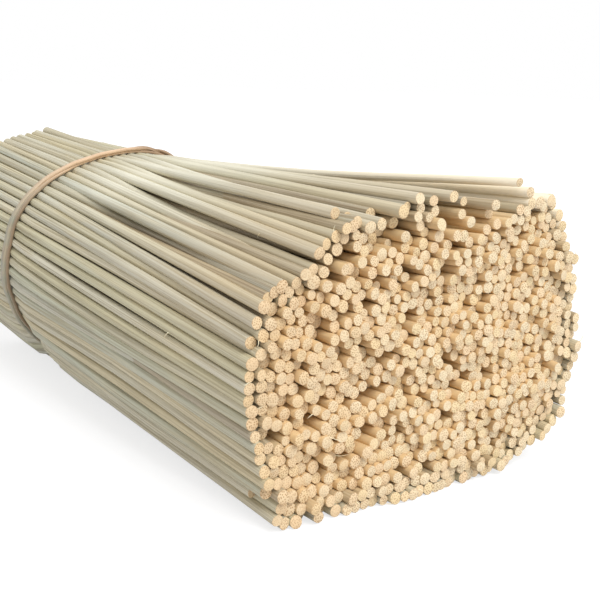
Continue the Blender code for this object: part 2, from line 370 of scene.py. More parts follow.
def openPartings(points, middle, hollow=0):
    # how far each reed moves aside so that dark partings open between the outer ones, and in beneath them
    offset = tied - bandOutline["middle"]
    angle = angleOf(offset)
    distance = lengthOf(offset)
    beneath = centresAt(bandOutline, angle) - distance
    fromMiddle = points - middle
    sideways = np.stack([-fromMiddle[:, 1], fromMiddle[:, 0]], axis=1)
    sideways /= lengthOf(sideways)[:, None]
    shift = np.zeros_like(points)
    outward = np.stack([sideways[:, 1], -sideways[:, 0]], axis=1)
    for place, (opening, depth) in partings.items():
        toParting = (math.radians(place) - angle + np.pi) % (2 * np.pi) - np.pi
        fading = np.exp(-np.abs(toParting) * distance / partingReach["sideways"]
                        - beneath / partingReach["beneath"])
        shift -= sideways * (np.sign(toParting) * opening / 2 * fading)[:, None]
        sinking = np.exp(-(toParting * distance / partingReach["hollowSideways"]) ** 2
                         - beneath / partingReach["hollowBeneath"])
        sinking = sinking * (beneath > partingReach["ringDepth"])
        shift -= outward * (hollow * depth * sinking)[:, None]
    return shift


ends = {}
for name, loose in looseness.items():
    outline = loose["outline"]
    size = radii * loose["thicker"]
    spread = moved(tied, bandOutline, outline, loose["turn"])
    ring = settle(spread[:outerCount], size[:outerCount], outline, loosening["ringRounds"], ring=outerCount)
    ring = sinkSome(ring, loose)
    if loose["fanned"]:
        spread[:outerCount] = ring
        ring = ring + openPartings(spread, outline["middle"])[:outerCount]
        inward = outline["middle"] - ring[slippedReeds]
        ring[slippedReeds] += inward / lengthOf(inward)[:, None] * slippedBy[:, :1]
    spread[:outerCount] = ring
    for swelling in loose["swelling"]:
        roomy = 1.0
        if loose["fanned"]:
            fromShoulder = lengthOf(spread - roomiest["at"])
            roomy = np.clip(roomiest["most"] - fromShoulder / roomiest["size"], *roomiest["limits"])
        swollen = size * (1 + (swelling - 1) * roomy)
        swollen[:outerCount] = size[:outerCount]
        spread = settle(spread, swollen, outline, loosening["swellRounds"], still=range(outerCount))
    wandering = drift(spread, loosening["waves"], loosening["longest"], loosening["shortest"])
    loosened = spread + loose["drift"] * wandering
    loosened += chance.normal(0, loose["jitter"], spread.shape)
    still = fanReeds if loose["fanned"] else []
    loosened[still] = spread[still]
    ends[name] = settle(loosened, size, outline, loose["rounds"], still=still, cling=loose["cling"])
near, far = ends["near"], ends["far"]

# two stray reeds leave the others and lie across the top of the fanned end; another one is lifted at the
# far end
strays = {
    "from": (87, 83),  # degrees round the tied section
    "thinner": 0.86,
    "to": ((0.0275, startHigh.z - 0.0010), (0.0308, startHigh.z - 0.0036)),
    "tipShift": (0.0000, 0.0008),
    "lift": -0.0011,
    "farFrom": 112,
    "farTo": (-0.0135, startHigh.z - 0.0002),
}
strayReeds = [nearestTo(ringDegrees(), degrees) for degrees in strays["from"]]
near[strayReeds] = strays["to"]
radii[strayReeds] *= strays["thinner"]
far[nearestTo(ringDegrees(), strays["farFrom"])] = strays["farTo"]


# each reed is straight apart from one soft bend at the band
def bendAmount(x):
    return np.hypot(x - bundle["bandX"], bundle["bendReach"]) - bundle["bendReach"]


nearSpan = bundle["nearX"] - bundle["bandX"]
farSpan = bundle["farX"] - bundle["bandX"]
nearBend = bendAmount(bundle["nearX"])
farBend = bendAmount(bundle["farX"])
bending = ((near - tied) * farSpan - (far - tied) * nearSpan) / (nearBend * farSpan - farBend * nearSpan)
slope = (near - tied - bending * nearBend) / nearSpan


# and a slight bow of its own between the band and the fanned end; the band pinches them all a little
shape = {
    "bow": 0.0007,
    "ownBow": 0.00018,
    "waves": 14,
    "longest": 0.050,
    "shortest": 0.014,
    "pinch": 0.0008,
    "pinchReach": 0.007,
    "deeper": ((219, 18, 0.0052), (78, 9, 0.0024)),  # degrees round the middle, half width, depth
}
bow = shape["bow"] * drift(near, shape["waves"], shape["longest"], shape["shortest"])
bow += chance.normal(0, shape["ownBow"], near.shape)
bow[strayReeds] = (0, strays["lift"])
bow += openPartings(tied, bandOutline["middle"], 1)
fromMiddle = tied - bandOutline["middle"]
outward = fromMiddle[slippedReeds] / lengthOf(fromMiddle[slippedReeds])[:, None]
bow[fanReeds] = 0
bow[slippedReeds] = -outward * slippedBy[:, 1:2]
# how far each slipped reed lies under its neighbours midway, for the painted shade on it
underShade = np.zeros(outerCount)
underShade[slippedReeds] = slippedBy[:, 1] / slippedBy[:, 1].max()
degrees = np.degrees(angleOf(fromMiddle)) % 360
deeper = [depth * np.exp(-((degrees - at) / half) ** 2) for at, half, depth in shape["deeper"]]
pinch = shape["pinch"] + sum(deeper)
pinched = fromMiddle / np.abs(fromMiddle).max() * pinch[:, None]


def reedCentre(x, which):
    # middle of reeds at x; x and which are arrays of the same length
    fromBand = x - bundle["bandX"]
    middle = tied[which] + slope[which] * fromBand[:, None] + bending[which] * bendAmount(x)[:, None]
    bowed = np.sin(np.pi * np.clip(fromBand / nearSpan, 0, 1)) ** 2
    squeezed = np.exp(-(fromBand / shape["pinchReach"]) ** 2)
    return middle + bow[which] * bowed[:, None] - pinched[which] * squeezed[:, None]


# where each reed ends: mostly within a millimetre or two, some pushed back, most of all in a notch at the
# upper left and in two hollows on the left
tips = {
    "usual": -0.0003,
    "spread": 0.0008,
    "wander": 0.0009,
    "longest": 0.050,  # waves of the wandering
    "shortest": 0.012,
    "pushedBack": 0.05,
    "pushedBackLow": 0.20,  # share in the hollows
    "shallowest": 0.002,
    "deepest": 0.0075,
    "notch": 0.0145,
    "notchShares": (0.35, 1.1),
    "notchMiddle": (-0.0165, 0.0715),
    "notchSize": (0.0065, 0.0060),
    "hollows": (((-0.013, 0.026), (0.024, 0.018)), ((-0.022, 0.059), (0.013, 0.009))),  # middle, size
    "forward": 0.0027,
    "uneven": 0.0012,
    "farSpread": 0.0007,
    "farSpare": 0.0002,
}
count = len(radii)
wander = drift(near, shape["waves"], tips["longest"], tips["shortest"])[:, 0]
tipShift = chance.normal(tips["usual"], tips["spread"], count) + tips["wander"] * wander
fromHollow = np.min([lengthOf((near - middle) / size) for middle, size in tips["hollows"]], axis=0)
hollow = np.clip(1.5 - fromHollow, 0, 1)
deep = chance.random(count) < tips["pushedBack"] + (tips["pushedBackLow"] - tips["pushedBack"]) * hollow
tipShift[deep] -= chance.uniform(tips["shallowest"], tips["deepest"], deep.sum())
fromNotch = lengthOf((near - tips["notchMiddle"]) / tips["notchSize"])
tipShift -= tips["notch"] * np.clip(1.45 - fromNotch, 0, 1) * chance.uniform(*tips["notchShares"], count)
tipShift = np.minimum(tipShift, tips["forward"] - chance.uniform(0, tips["uneven"], count))
tipShift[strayReeds] = strays["tipShift"]
tipShift[fanReeds] = -fan["tipBack"] * chance.uniform(0, 2, len(fanReeds))
tipShift[slippedReeds] -= slippedBy[:, 2]
nearTip = bundle["nearX"] + tipShift
farTip = nearTip - bundle["reedLength"] + chance.normal(0, tips["farSpread"], count)
farTip = np.maximum(farTip, startLow.x + tips["farSpare"])


# one reed, in millimetres, modelled once for the outside and once with fewer loops for the inside
reed = {
    "sides": 12,
    "rim": 0.09,  # worn edge of the cut
    "rimDepth": 0.8,  # share of its width
    "outerLoops": (-84.0, -62.0, -50.0, -44.0, -39.0, -34.0, -28.0, -14.0, 8.0, 31.0, 54.0, 77.0),
    "innerLoops": (-60.0, -39.0, -20.0, 20.0, 60.0),
    "roundness": 0.055,  # how far from round a reed may be
    "cutTilt": 0.07,
    "patternShift": 900,  # so that no two reeds show the same grain
    "sharpAngle": 38,
    # where the painted warm bounce on inner reeds grows in
    "innerToneAndShade": (0.002, 0.005),  # metres in from the edge: from, over
}


def deselectAll():
    bpy.ops.object.select_all(action="DESELECT")


def modelReed(name, loops):
    half = bundle["reedLength"] * 500
    radius = bundle["reedRadius"] * 1000
    deselectAll()
    bpy.ops.mesh.primitive_cylinder_add(vertices=reed["sides"], radius=radius, depth=2 * half,
                                        rotation=(0, math.pi / 2, 0))
    item = bpy.context.object
    item.name = name
    bpy.ops.object.transform_apply(location=True, rotation=True, scale=True)
    bpy.ops.object.mode_set(mode="EDIT")
    for place in loops:
        bpy.ops.mesh.select_all(action="SELECT")
        bpy.ops.mesh.bisect(plane_co=(place, 0, 0), plane_no=(1, 0, 0))
    bpy.ops.mesh.select_all(action="DESELECT")
    mesh = bmesh.from_edit_mesh(item.data)
    for face in mesh.faces:
        face.select_set(abs(face.normal.x) > 0.9)  # the two cut ends
    bmesh.update_edit_mesh(item.data)
    bpy.ops.mesh.inset(thickness=reed["rim"], depth=reed["rim"] * reed["rimDepth"])
    bpy.ops.mesh.select_all(action="SELECT")
    bpy.ops.mesh.normals_make_consistent(inside=False)
    bpy.ops.object.mode_set(mode="OBJECT")
    return item


def fill(data, name, values, kind=np.float32):
    data.foreach_set(name, np.asarray(values, kind).ravel())


def joinReeds(name, master, which, materials):
    # copies the modelled reed to every place and bends each copy along its own line
    source = master.data
    local = np.array([vertex.co[:] for vertex in source.vertices])
    loopTotals = np.array([len(face.vertices) for face in source.polygons])
    corners = np.array([loop.vertex_index for loop in source.loops])
    cutFaces = np.array([abs(face.normal.x) > 0.5 for face in source.polygons])
    cornerFace = np.repeat(np.arange(len(loopTotals)), loopTotals)
    many = len(which)
    half = local[:, 0].max()
    share = (local[:, 0] + half) / (2 * half)

    size = radii[which] / bundle["reedRadius"] / 1000
    turn = angleOf(tied[which] - bandOutline["middle"])
    squeeze = chance.uniform(-reed["roundness"], reed["roundness"], many)
    squeezeTurn = chance.uniform(0, np.pi, many)
    angle = np.arctan2(local[:, 2], local[:, 1])[None] + turn[:, None]
    distance = np.hypot(local[:, 1], local[:, 2])[None] * size[:, None]
    distance = distance * (1 + squeeze[:, None] * np.cos(2 * (angle - squeezeTurn[:, None])))
    x = farTip[which][:, None] + share[None] * (nearTip[which] - farTip[which])[:, None]
    thicker = np.clip((x - bundle["bandX"]) / (bundle["nearX"] - bundle["bandX"]), 0, 1)
    distance = distance * (1 + (bundle["nearThicker"] - 1) * thicker)
    side = np.stack([np.cos(angle) * distance, np.sin(angle) * distance], axis=-1)
    middle = reedCentre(x.ravel(), np.repeat(which, len(local))).reshape(many, len(local), 2)
    tilt = chance.normal(0, reed["cutTilt"], (many, 2, 2))
    atEnd = np.stack([share < 0.01, share > 0.99], axis=1)
    x = x + np.einsum("mvk,mek,ve->mv", side, tilt, atEnd.astype(float))
    x = np.minimum(x, startHigh.x)
    points = np.concatenate([x[..., None], middle + side], axis=-1)

    mesh = bpy.data.meshes.new(name)
    mesh.vertices.add(many * len(local))
    fill(mesh.vertices, "co", points)
    mesh.loops.add(many * len(corners))
    allCorners = corners[None] + np.arange(many)[:, None] * len(local)
    fill(mesh.loops, "vertex_index", allCorners, np.int32)
    mesh.polygons.add(many * len(loopTotals))
    starts = np.concatenate([[0], np.cumsum(np.tile(loopTotals, many))[:-1]])
    fill(mesh.polygons, "loop_start", starts, np.int32)
    fill(mesh.polygons, "material_index", np.tile(cutFaces, many), np.int32)
    mesh.update(calc_edges=True)
    mesh.validate()

    # millimetres round and along for the sides, millimetres across for the cuts
    around = np.arctan2(local[corners, 2], local[corners, 1])
    faceMiddle = np.array([face.center[:] for face in source.polygons])[cornerFace]
    middleAround = np.arctan2(faceMiddle[:, 2], faceMiddle[:, 1])
    around = middleAround + (around - middleAround + np.pi) % (2 * np.pi) - np.pi
    onCut = cutFaces[cornerFace]
    flat = np.where(onCut[:, None], local[corners][:, 1:], 0)
    flat[~onCut, 0] = around[~onCut] * bundle["reedRadius"] * 1000
    flat[~onCut, 1] = local[corners[~onCut], 0]
    shift = chance.uniform(0, reed["patternShift"], (many, 1, 2))
    layer = mesh.uv_layers.new(name="millimetres")
    fill(layer.data, "uv", flat[None] + shift)

    # chance colours; how far an outer reed lies under its neighbours (for painted shade) or how deep an
    # inner reed lies inside (for painted warm bounce); then how far out on the cut, for the materials
    offset = near[which] - nearOutline["middle"]
    toEdge = centresAt(nearOutline, angleOf(offset)) - lengthOf(offset)
    insideShare = np.clip((toEdge - reed["innerToneAndShade"][0]) / reed["innerToneAndShade"][1], 0, 1)
    tint = np.empty((many, len(local), 4))
    tint[..., :3] = chance.random((many, 1, 3))
    tint[..., 3] = (underShade if name == "outerReeds" else insideShare)[:, None]
    layer = mesh.color_attributes.new("reedTint", "FLOAT_COLOR", "POINT")
    fill(layer.data, "color", tint)
    rim = np.hypot(local[:, 1], local[:, 2]) / (bundle["reedRadius"] * 1000)
    layer = mesh.attributes.new("acrossCut", "FLOAT", "POINT")
    fill(layer.data, "value", np.tile(rim, many))

    for material in materials:
        mesh.materials.append(material)
    mesh.shade_smooth()
    mesh.set_sharp_from_angle(angle=math.radians(reed["sharpAngle"]))
    return addObject(name, mesh)


def addObject(name, mesh):
    item = bpy.data.objects.new(name, mesh)
    bpy.context.scene.collection.objects.link(item)
    return item


def addForm(name, form):
    bmesh.ops.recalc_face_normals(form, faces=form.faces)
    mesh = bpy.data.meshes.new(name)
    form.to_mesh(mesh)
    form.free()
    mesh.shade_smooth()
    return addObject(name, mesh)


def feed(tree, node, inputs):
    # each input gets a link from a socket, or a plain value
    for key, value in inputs.items():
        if isinstance(value, bpy.types.NodeSocket):
            tree.links.new(value, node.inputs[key])
        else:
            node.inputs[key].default_value = value


def addNode(tree, kind, inputs=None, **settings):
    node = tree.nodes.new("ShaderNode" + kind)
    for key, value in settings.items():
        setattr(node, key, value)
    feed(tree, node, inputs or {})
    return node.outputs


def newMaterial(name, roughness):
    material = bpy.data.materials.new(name)
    material.use_nodes = True
    tree = material.node_tree
    shader = tree.nodes["Principled BSDF"]
    feed(tree, shader, {"Roughness": roughness})
    return material, tree, shader


def mathOf(tree, operation, first, second):
    return addNode(tree, "Math", {0: first, 1: second}, operation=operation)[0]


def colourMix(tree, factor, first, second):
    return addNode(tree, "Mix", {0: factor, 6: first, 7: second}, data_type="RGBA")[2]


def rangeOf(tree, value, low, high, newLow, newHigh):
    return addNode(tree, "MapRange", {0: value, 1: low, 2: high, 3: newLow, 4: newHigh})[0]


def tinted(tree, body, value, span, colour):
    # the body goes towards a colour while a value runs through the span (from, to, largest share)
    low, high, share = span
    return colourMix(tree, rangeOf(tree, value, low, high, 0, share), body, colour)


def noiseOf(tree, vector, scale, detail=2.0, roughness=0.5):
    inputs = {"Vector": vector, "Scale": scale, "Detail": detail, "Roughness": roughness}
    return addNode(tree, "TexNoise", inputs)["Fac"]


def stretched(tree, vector, scale):
    return addNode(tree, "Mapping", {"Vector": vector, "Scale": scale})["Vector"]


def onPiece(tree):
    # the place on the piece, and its three parts
    where = addNode(tree, "TexCoord")["Object"]
    return where, *addNode(tree, "SeparateXYZ", {0: where})


def millimetres(tree):
    return addNode(tree, "UVMap", uv_map="millimetres")["UV"]


def attributeOf(tree, name):
    return addNode(tree, "Attribute", attribute_name=name)


def addRelief(tree, shader, height, strength, distance):
    relief = addNode(tree, "Bump", {"Height": height, "Strength": strength, "Distance": distance})
    feed(tree, shader, {"Normal": relief[0]})


weathered = {
    "name": "reedWeathered",
    "pale": (0.615, 0.575, 0.440, 1),
    "straw": (0.615, 0.525, 0.325, 1),
    "grey": (0.505, 0.530, 0.480, 1),
    "green": (0.475, 0.470, 0.305, 1),
    "line": (0.275, 0.226, 0.125, 1),
    # warmer near the cut end, more so higher up: partly the reeds' own colour, partly painted warm bounce
    # light
    "freshAndBounce": (0.620, 0.460, 0.270, 1),
    "freshAndBounceAlong": (bundle["nearX"] - 0.081, bundle["nearX"] - 0.016, 0, 0.45),  # from, to, shares
    "freshAndBounceUp": (0.040, 0.060, 0.25, 1),
    "paintedTopLight": (0.880, 0.850, 0.700, 1),  # painted light: lighter on top, most of all in front of the band
    "paintedTopLightFalls": (bundle["bandX"] + 0.098, bundle["bandX"] + 0.038, 0.20, 0.65),
    "paintedTopLightRises": (bundle["bandX"] - 0.004, bundle["bandX"] + 0.034, 0, 0.65),
    "paintedTopRightLight": (0.985, 0.885, 0.690, 1),  # painted light: lighter on top, on the right
    "paintedTopRightLightFrom": (0.004, 0.022, 0, 0.85),
    "topFrom": (0.060, 0.072, 0, 1),
    "underShade": (0.400, 0.345, 0.220, 1),  # painted shade on a reed that lies under its neighbours
    "roughness": 0.55,
}
# inner reeds: their own less weathered tone, darkened as painted shade between the reeds, with painted warm
# bounce near the cut
innerToneAndShade = {
    "name": "reedSheltered",
    "pale": (0.470, 0.395, 0.265, 1),
    "straw": (0.470, 0.370, 0.220, 1),
    "grey": (0.420, 0.400, 0.315, 1),
    "green": (0.400, 0.370, 0.245, 1),
    "line": (0.210, 0.140, 0.075, 1),
    "freshAndBounce": (0.750, 0.540, 0.290, 1),
    "freshAndBounceAlong": (bundle["nearX"] - 0.024, bundle["nearX"] - 0.006, 0, 1.0),
    "roughness": 0.60,
}
# how the grain of a reed is drawn: lines round it and along it, per millimetre, and detail
grain = {
    "fine": (4.2, 0.022, 2.0),
    "wide": (2.1, 0.014, 2.0),
    "patches": (0.35, 0.030, 2.0),
    "dashes": (9.0, 0.50, 1.0),
}
# from, to and largest share of each colour that a reed takes on
reedSpans = {
    "straw": (0.15, 0.95, 0.85),
    "grey": (0.45, 1.0, 0.8),
    "green": (0.60, 1.0, 0.7),
    "patches": (0.50, 0.68, 0.45),
    "wide": (0.50, 0.62, 0.50),
    "fine": (0.50, 0.60, 0.55),
    "dashes": (0.68, 0.78, 0.50),
    # painted shade on a reed under its neighbours
    "underShade": (0, 1, 0.6),
    "rough": (0.3, 0.7, 0.46, 0.66),  # from and to of the wide lines, roughness below and above
}


def makeSideMaterial(look):
    material, tree, shader = newMaterial(look["name"], look["roughness"])
    uv = millimetres(tree)
    tint = attributeOf(tree, "reedTint")
    lines = {}
    for name, (across, along, detail) in grain.items():
        lines[name] = noiseOf(tree, stretched(tree, uv, (across, along, 1)), 1.0, detail, 0.6)
    body = look["pale"]
    parts = addNode(tree, "SeparateColor", {0: tint["Color"]})
    for name, value in zip(("straw", "grey", "green"), parts):
        body = tinted(tree, body, value, reedSpans[name], look[name])
    body = tinted(tree, body, lines["patches"], reedSpans["patches"], look["straw"])
    for name in ("wide", "fine", "dashes"):
        body = tinted(tree, body, lines[name], reedSpans[name], look["line"])
    alongX, alongY, alongZ = onPiece(tree)[1:]
    # warmer towards the cut end: partly the reeds' own colour, partly painted warm bounce light; inner reeds
    # take it only deep inside, outer ones more higher up
    freshAndBounce = rangeOf(tree, alongX, *look["freshAndBounceAlong"])
    limit = tint["Alpha"] if look is innerToneAndShade else rangeOf(tree, alongZ, *look["freshAndBounceUp"])
    body = colourMix(tree, mathOf(tree, "MULTIPLY", freshAndBounce, limit), body, look["freshAndBounce"])
    if look is weathered:
        # painted shade on outer reeds that lie under their neighbours
        body = tinted(tree, body, tint["Alpha"], reedSpans["underShade"], look["underShade"])
        # painted light: the tops of the outer reeds are lightened in front of the band and on the right
        falling = rangeOf(tree, alongX, *look["paintedTopLightFalls"])
        nearBand = mathOf(tree, "MINIMUM", falling, rangeOf(tree, alongX, *look["paintedTopLightRises"]))
        upper = rangeOf(tree, alongZ, *look["topFrom"])
        beyond = rangeOf(tree, alongY, *look["paintedTopRightLightFrom"])
        for share, colour in ((nearBand, look["paintedTopLight"]), (beyond, look["paintedTopRightLight"])):
            body = colourMix(tree, mathOf(tree, "MULTIPLY", share, upper), body, colour)
    rough = rangeOf(tree, lines["wide"], *reedSpans["rough"])
    feed(tree, shader, {"Base Color": body, "Roughness": rough})
    addRelief(tree, shader, lines["wide"], strength=0.6, distance=0.00025)
    return material


cut = {
    "cream": (1.000, 0.960, 0.700, 1),
    "peach": (0.990, 0.800, 0.520, 1),
    "straw": (0.990, 0.865, 0.490, 1),
    "paintedLeftShade": (0.840, 0.635, 0.375, 1),  # painted shade: ends darker towards the left side
    "pore": (0.230, 0.110, 0.040, 1),
    "rim": (0.480, 0.265, 0.110, 1),
    "poresPerMillimetre": 1.9,
    "poreRandomness": 0.75,
    "poreReach": (0.38, 0.20, 0, 1),
    "poreStrength": (0.28, 0.76),  # from reed to reed
    "mottleScale": 1.1,
    "mottleDetail": 3.0,
    "roughness": 0.75,
    "spans": {  # from, to and largest share
        "peach": (0.30, 1.0, 0.75),
        "straw": (0.5, 1.0, 0.7),
        "mottle": (0.46, 0.66, 0.45),
        # painted shade towards the left
        "paintedLeftShade": (-0.006, -0.045, 0.50),
        "rim": (0.86, 1.0, 0.80),
    },
}


def makeCutMaterial():
    material, tree, shader = newMaterial("reedCut", cut["roughness"])
    uv = millimetres(tree)
    parts = addNode(tree, "SeparateColor", {0: attributeOf(tree, "reedTint")["Color"]})
    layout = {"Vector": uv, "Scale": cut["poresPerMillimetre"], "Randomness": cut["poreRandomness"]}
    pores = addNode(tree, "TexVoronoi", layout, voronoi_dimensions="2D")["Distance"]
    mottle = noiseOf(tree, uv, cut["mottleScale"], cut["mottleDetail"])
    spans = cut["spans"]
    body = tinted(tree, cut["cream"], parts[2], spans["peach"], cut["peach"])
    body = tinted(tree, body, parts[0], spans["straw"], cut["straw"])
    body = tinted(tree, body, mottle, spans["mottle"], cut["peach"])
    alongY = onPiece(tree)[2]
    # painted shade: the ends darken towards the left
    body = tinted(tree, body, alongY, spans["paintedLeftShade"], cut["paintedLeftShade"])
    poreShare = rangeOf(tree, pores, *cut["poreReach"])
    poreDepth = rangeOf(tree, parts[1], 0, 1, *cut["poreStrength"])
    body = colourMix(tree, mathOf(tree, "MULTIPLY", poreShare, poreDepth), body, cut["pore"])
    body = tinted(tree, body, attributeOf(tree, "acrossCut")["Fac"], spans["rim"], cut["rim"])
    feed(tree, shader, {"Base Color": body})
    addRelief(tree, shader, pores, strength=0.6, distance=0.00015)
    return material


weatheredSide = makeSideMaterial(weathered)
innerToneAndShadeSide = makeSideMaterial(innerToneAndShade)
cutMaterial = makeCutMaterial()
outerMaster = modelReed("outerMaster", reed["outerLoops"])
innerMaster = modelReed("innerMaster", reed["innerLoops"])
order = np.arange(count)
outerReeds = joinReeds("outerReeds", outerMaster, order[:outerCount], (weatheredSide, cutMaterial))
packedReeds = joinReeds("packedReeds", innerMaster, order[outerCount:], (innerToneAndShadeSide, cutMaterial))
for master in (outerMaster, innerMaster):
    bpy.data.objects.remove(master, do_unlink=True)
for piece in (outerReeds, packedReeds):
    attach(piece, "root")
outerNodes = [name for name in bpy.data.objects.keys() if name.startswith("outer_reed_")]
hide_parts(*outerNodes)
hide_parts("packed_reeds")
print("reeds modelled:", sum(len(item.data.polygons) for item in (outerReeds, packedReeds)), "faces")


# loose fibres: thin splinters that stand off the rims of the cut ends, and a few that lie along the reeds
fibre = {
    "count": 46,  # the lying ones on a reed's hidden side are left out
    "lying": 10,
    "lyingBack": (0.010, 0.090),  # how far from the cut end the lying ones are
    "thickness": 0.00012,
    "length": (0.0012, 0.0034),
    "thinning": 0.75,
    "behindRim": 0.0002,
    "rootAt": 0.98,  # share of the reed's radius
    "forward": (0.2, 1),
    "outward": (0.15, 0.6),
    "unruly": 0.25,
    "curl": 0.5,
    "aboveFloor": 0.0003,
    "points": 7,
    "sides": 5,
    "patternScale": 900.0,
    "roughness": 0.7,
}


def addFibres():
    strands = bmesh.new()
    turns = np.linspace(0, 2 * np.pi, fibre["sides"], endpoint=False)
    lowest = (startLow.x, startLow.y, startLow.z + fibre["aboveFloor"])
    for number in range(fibre["count"]):
        which = int(chance.integers(outerCount if number < fibre["count"] // 2 else count))
        around = chance.uniform(0, 2 * np.pi)
        length = chance.uniform(*fibre["length"])
        lying = number < fibre["lying"]
        x = nearTip[which] - (chance.uniform(*fibre["lyingBack"]) if lying else fibre["behindRim"])
        outward = np.array([0, math.cos(around), math.sin(around)])
        centre = reedCentre(np.array([x]), np.array([which]))[0]
        foot = np.array([x, *centre]) + outward * radii[which] * fibre["rootAt"]
        if lying and (outward[1:] @ fromMiddle[which]) < 0:
            continue
        sweep = np.array([chance.uniform(-1, 1) if lying else chance.uniform(*fibre["forward"]), 0, 0])
        sweep = sweep + outward * chance.uniform(*fibre["outward"]) + chance.normal(0, fibre["unruly"], 3)
        sweep /= np.linalg.norm(sweep)
        curl = np.cross(sweep, chance.normal(0, 1, 3)) * fibre["curl"]
        rings = []
        for share in np.linspace(0, 1, fibre["points"]):
            middle = foot + (sweep * share + curl * share ** 2) * length
            middle = np.clip(middle, lowest, tuple(startHigh))
            beside = np.cross(sweep, (0.3, 0.5, 0.8))
            beside /= np.linalg.norm(beside)
            other = np.cross(sweep, beside)
            radius = fibre["thickness"] * (1 - fibre["thinning"] * share)
            circle = [beside * math.cos(turn) + other * math.sin(turn) for turn in turns]
            rings.append([strands.verts.new(middle + radius * heading) for heading in circle])
        for one, following in zip(rings, rings[1:]):
            for column in range(len(turns)):
                beside = (column + 1) % len(turns)
                strands.faces.new((one[column], one[beside], following[beside], following[column]))
        strands.faces.new(rings[0][::-1])
        strands.faces.new(rings[-1])
    return addForm("looseFibres", strands)


def makeFibreMaterial():
    material, tree, shader = newMaterial("reedFibre", fibre["roughness"])
    noise = noiseOf(tree, onPiece(tree)[0], fibre["patternScale"])
    body = tinted(tree, cut["cream"], noise, (0.35, 0.65, 1), cut["peach"])
    feed(tree, shader, {"Base Color": body})
    return material


looseFibres = addFibres()
looseFibres.data.materials.append(makeFibreMaterial())
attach(looseFibres, "root")
print("loose fibres added")


# the rubber band goes round twice. Its two strands cross at the upper left, and one of them has two half
# twists, on top and low on the far side
band = {
    "width": 0.00225,
    "thickness": 0.00090,
    "samples": 260,  # per turn
    "bridging": 8,  # half degrees to each side
    "roundBundle": (-90, 60, 84, 112, 136, 146, 156, 166, 205, 270),  # degrees round the middle
    "apart": (1.15, 1.15, 0.30, 0.30, 0.45, 0.85, 1.05, 0.55, 0.60, 1.15),  # millimetres from the line
    "crossing": 139,
    "crossingHalf": 14,  # samples
    "twists": (93, 335),
    "twistHalf": 8,
    "twistWidth": 0.45,
    "edge": 0.18,  # share of the thickness
    "sharpAngle": 60,
    "uvStep": (0.6, 1.05),
    "stretch": (1.2, 0.12, 1),
    "peach": (0.760, 0.540, 0.350, 1),
    "tan": (0.560, 0.370, 0.220, 1),
    "olive": (0.320, 0.310, 0.230, 1),
    "brown": (0.240, 0.155, 0.090, 1),
    "dark": (0.190, 0.115, 0.062, 1),
    # painted light and shade: the band goes from olive below to peach on top, and its brown edge fades where
    # the top is lit
    "bandLitTopUp": (0.056, 0.074, 0, 1),  # from, to, shares
    "edgeBelowLitTop": (0, 1, 1, 0.15),
    "lowEdge": (bundle["bandX"] + 0.0006, bundle["bandX"] + 0.0015, 0, 0.8),
    "stretchNoise": (1.6, 4.0),  # scale, detail
    "dustNoise": (260.0, 3.0),
    "roughness": 0.55,
    "spans": {  # from, to and largest share
        "tan": (0.42, 0.66, 0.3),
        "dark": (0.54, 0.74, 0.45),
        "right": (-0.0125, -0.0045, 0.75),
    },
}


def lineRoundReeds():
    # the band touches the outermost reeds and bridges the valleys between them
    angles = bandOutline["angles"]
    circle = towards(np.linspace(0, 2 * np.pi, 36, endpoint=False))
    squeezed = (tied - pinched)[:outerCount]
    offset = (squeezed[:, None] + circle[None] * radii[:outerCount, None, None]).reshape(-1, 2)
    offset = offset - bandOutline["middle"]
    step = 2 * np.pi / len(angles)
    column = ((angleOf(offset) + np.pi) / step).astype(int) % len(angles)
    share = lengthOf(offset) / bandOutline["reach"][column]
    highest = np.zeros(len(angles))
    np.maximum.at(highest, column, share)
    reachAcross = range(-band["bridging"], band["bridging"] + 1)
    highest = np.max([np.roll(highest, shift) for shift in reachAcross], axis=0)
    highest = np.mean([np.roll(highest, shift) for shift in reachAcross], axis=0)
    line = bandOutline["middle"] + towards(angles) * (bandOutline["reach"] * highest)[:, None]
    travelled = travelledAlong(line)
    return placedAlong(line, travelled, np.linspace(0, travelled[-1], band["samples"], endpoint=False))


def bump(distance, half):
    return 0.5 + 0.5 * np.cos(np.pi * np.clip(distance / half, -1, 1))


